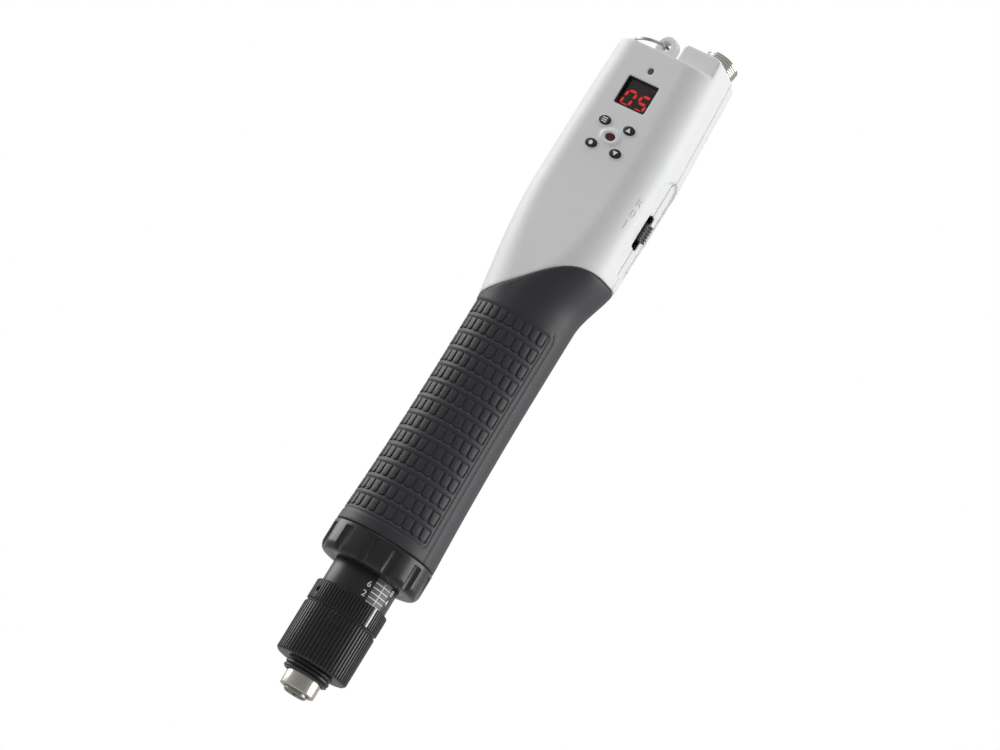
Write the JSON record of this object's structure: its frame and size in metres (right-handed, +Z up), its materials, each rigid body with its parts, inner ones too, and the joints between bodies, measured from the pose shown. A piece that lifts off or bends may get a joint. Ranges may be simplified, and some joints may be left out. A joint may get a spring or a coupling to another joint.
{
  "type": "electric torque screwdriver",
  "caption": "Slim electric torque screwdriver: flared head with display and buttons, embossed grip, knurled torque nut, sprung hex bit holder and hanging ring.",
  "frame": {"origin": "centre of the hex socket's mouth at the spindle's lower end", "axes": "+Z up along the drive axis, away from the bit; the display faces -Y; the direction switch is on +X"},
  "size_m": [0.0438, 0.0382, 0.2632],
  "materials": {
    "white_shell": "satin moulded",
    "rubber_grip": "matte, embossed",
    "black_metal": "satin black",
    "bright_metal": "nickel plated",
    "steel": "machined",
    "gear_steel": "machined",
    "magnet": "plain",
    "copper": "enamelled wire",
    "gold_pin": "plated",
    "board": "solder mask",
    "black_plastic": "moulded",
    "display_window": "clear, smoked",
    "led_smoke": "clear smoked",
    "led_red": "clear red",
    "ring_wire": "bright"
  },
  "bodies": {
    "housing": {"front_housing": "white_shell", "rear_housing": "white_shell", "grip_sleeve": "rubber_grip", "grip_nut": "black_metal", "neck_sleeve": "black_metal", "nose_tube": "black_metal", "spindle_bearing": "steel", "gear_case": "steel", "ring_gear": "steel", "motor_flange": "steel", "motor_can": "steel", "motor_stator": "magnet", "motor_windings": "copper", "motor_cap": "steel", "motor_bearings": "steel", "sensor_board": "board", "start_switch": "black_plastic", "circuit_board": "board", "display_module": "black_plastic", "display_window": "display_window", "status_led": "led_smoke", "centre_led": "led_red", "button_switches": "black_plastic", "direction_switch": "black_plastic", "connector_shell": "bright_metal", "connector_insert": "black_plastic", "connector_pins": "gold_pin", "connector_nut": "bright_metal", "housing_screws": "black_metal"},
    "rotor": {"rotor_magnet": "magnet", "motor_shaft": "steel", "motor_pinion": "gear_steel"},
    "carrier": {"planet_carrier": "steel", "clutch_balls": "steel"},
    "planet_1": {"planet_gear_1": "gear_steel"},
    "planet_2": {"planet_gear_2": "gear_steel"},
    "planet_3": {"planet_gear_3": "gear_steel"},
    "clutch": {"clutch_plate": "steel"},
    "push_rod": {"start_rod": "steel", "start_spring": "steel"},
    "spindle": {"spindle": "bright_metal", "bit_ball": "steel", "sleeve_collar": "steel"},
    "sleeve": {"bit_sleeve": "bright_metal", "sleeve_spring": "steel"},
    "spring_seat": {"spring_seat": "steel", "torque_spring": "steel"},
    "torque_nut": {"torque_nut": "black_metal", "index_ring": "black_metal", "index_screw": "black_metal"},
    "direction_slider": {"direction_slider": "black_plastic"},
    "button_program": {"button_program": "black_plastic"},
    "button_up": {"button_up": "black_plastic"},
    "button_select": {"button_select": "black_plastic"},
    "button_down": {"button_down": "black_plastic"},
    "hanger": {"hanger_ring": "ring_wire"}
  },
  "joints": [
    {"name": "rotor_spin", "type": "hinge", "parent": "housing", "child": "rotor", "pos_m": [0, 0, 0.0945], "axis": [0, 0, 1], "continuous": true},
    {"name": "carrier_spin", "type": "hinge", "parent": "housing", "child": "carrier", "pos_m": [0, 0, 0.0599], "axis": [0, 0, 1], "continuous": true},
    {"name": "clutch_spin", "type": "hinge", "parent": "housing", "child": "clutch", "pos_m": [0, 0, 0.0547], "axis": [0, 0, 1], "continuous": true},
    {"name": "planet_1_spin", "type": "hinge", "parent": "carrier", "child": "planet_1", "pos_m": [0, 0.0075, 0.0645], "axis": [0, 0, 1], "continuous": true},
    {"name": "planet_2_spin", "type": "hinge", "parent": "carrier", "child": "planet_2", "pos_m": [-0.0065, -0.00375, 0.0645], "axis": [0, 0, 1], "continuous": true},
    {"name": "planet_3_spin", "type": "hinge", "parent": "carrier", "child": "planet_3", "pos_m": [0.0065, -0.00375, 0.0645], "axis": [0, 0, 1], "continuous": true},
    {"name": "push_start", "type": "slide", "parent": "housing", "child": "push_rod", "axis": [0, 0, 1], "range_m": [0, 0.0015], "stiffness_N_per_m": 1500, "springref_m": -0.002, "deforming": ["start_spring"]},
    {"name": "spindle_spin", "type": "hinge", "parent": "push_rod", "child": "spindle", "pos_m": [0, 0, 0.02], "axis": [0, 0, 1], "continuous": true},
    {"name": "sleeve_slide", "type": "slide", "parent": "spindle", "child": "sleeve", "axis": [0, 0, 1], "range_m": [0, 0.0024], "stiffness_N_per_m": 800, "springref_m": -0.002, "deforming": ["sleeve_spring"]},
    {"name": "torque_travel", "type": "slide", "parent": "housing", "child": "spring_seat", "axis": [0, 0, 1], "range_m": [0, 0.0072], "deforming": ["torque_spring"]},
    {"name": "torque_nut_turn", "type": "hinge", "parent": "spring_seat", "child": "torque_nut", "pos_m": [0, 0, 0.0205], "axis": [0, 0, 1], "range_deg": [0, 1728]},
    {"name": "direction_slide", "type": "slide", "parent": "housing", "child": "direction_slider", "axis": [0, 0, 1], "range_m": [-0.0028, 0.0028]},
    {"name": "button_program_press", "type": "slide", "parent": "housing", "child": "button_program", "axis": [0, 1, 0], "range_m": [0, 0.0004], "stiffness_N_per_m": 800, "springref_m": -0.0004},
    {"name": "button_up_press", "type": "slide", "parent": "housing", "child": "button_up", "axis": [0, 1, 0], "range_m": [0, 0.0004], "stiffness_N_per_m": 800, "springref_m": -0.0004},
    {"name": "button_select_press", "type": "slide", "parent": "housing", "child": "button_select", "axis": [0, 1, 0], "range_m": [0, 0.0004], "stiffness_N_per_m": 800, "springref_m": -0.0004},
    {"name": "button_down_press", "type": "slide", "parent": "housing", "child": "button_down", "axis": [0, 1, 0], "range_m": [0, 0.0004], "stiffness_N_per_m": 800, "springref_m": -0.0004},
    {"name": "hanger_swing", "type": "hinge", "parent": "housing", "child": "hanger", "pos_m": [-0.0056, -0.003, 0.2566], "axis": [0, 1, 0], "range_deg": [0, 150]}
  ],
  "couplings": [
    {"joint": "carrier_spin", "follows": "rotor_spin", "ratio": 0.2},
    {"joint": "clutch_spin", "follows": "rotor_spin", "ratio": 0.2},
    {"joint": "spindle_spin", "follows": "rotor_spin", "ratio": 0.2},
    {"joint": "planet_1_spin", "follows": "rotor_spin", "ratio": -0.53333},
    {"joint": "planet_2_spin", "follows": "rotor_spin", "ratio": -0.53333},
    {"joint": "planet_3_spin", "follows": "rotor_spin", "ratio": -0.53333},
    {"joint": "torque_travel", "follows": "torque_nut_turn", "m_per_rad": 0.00023873}
  ]
}
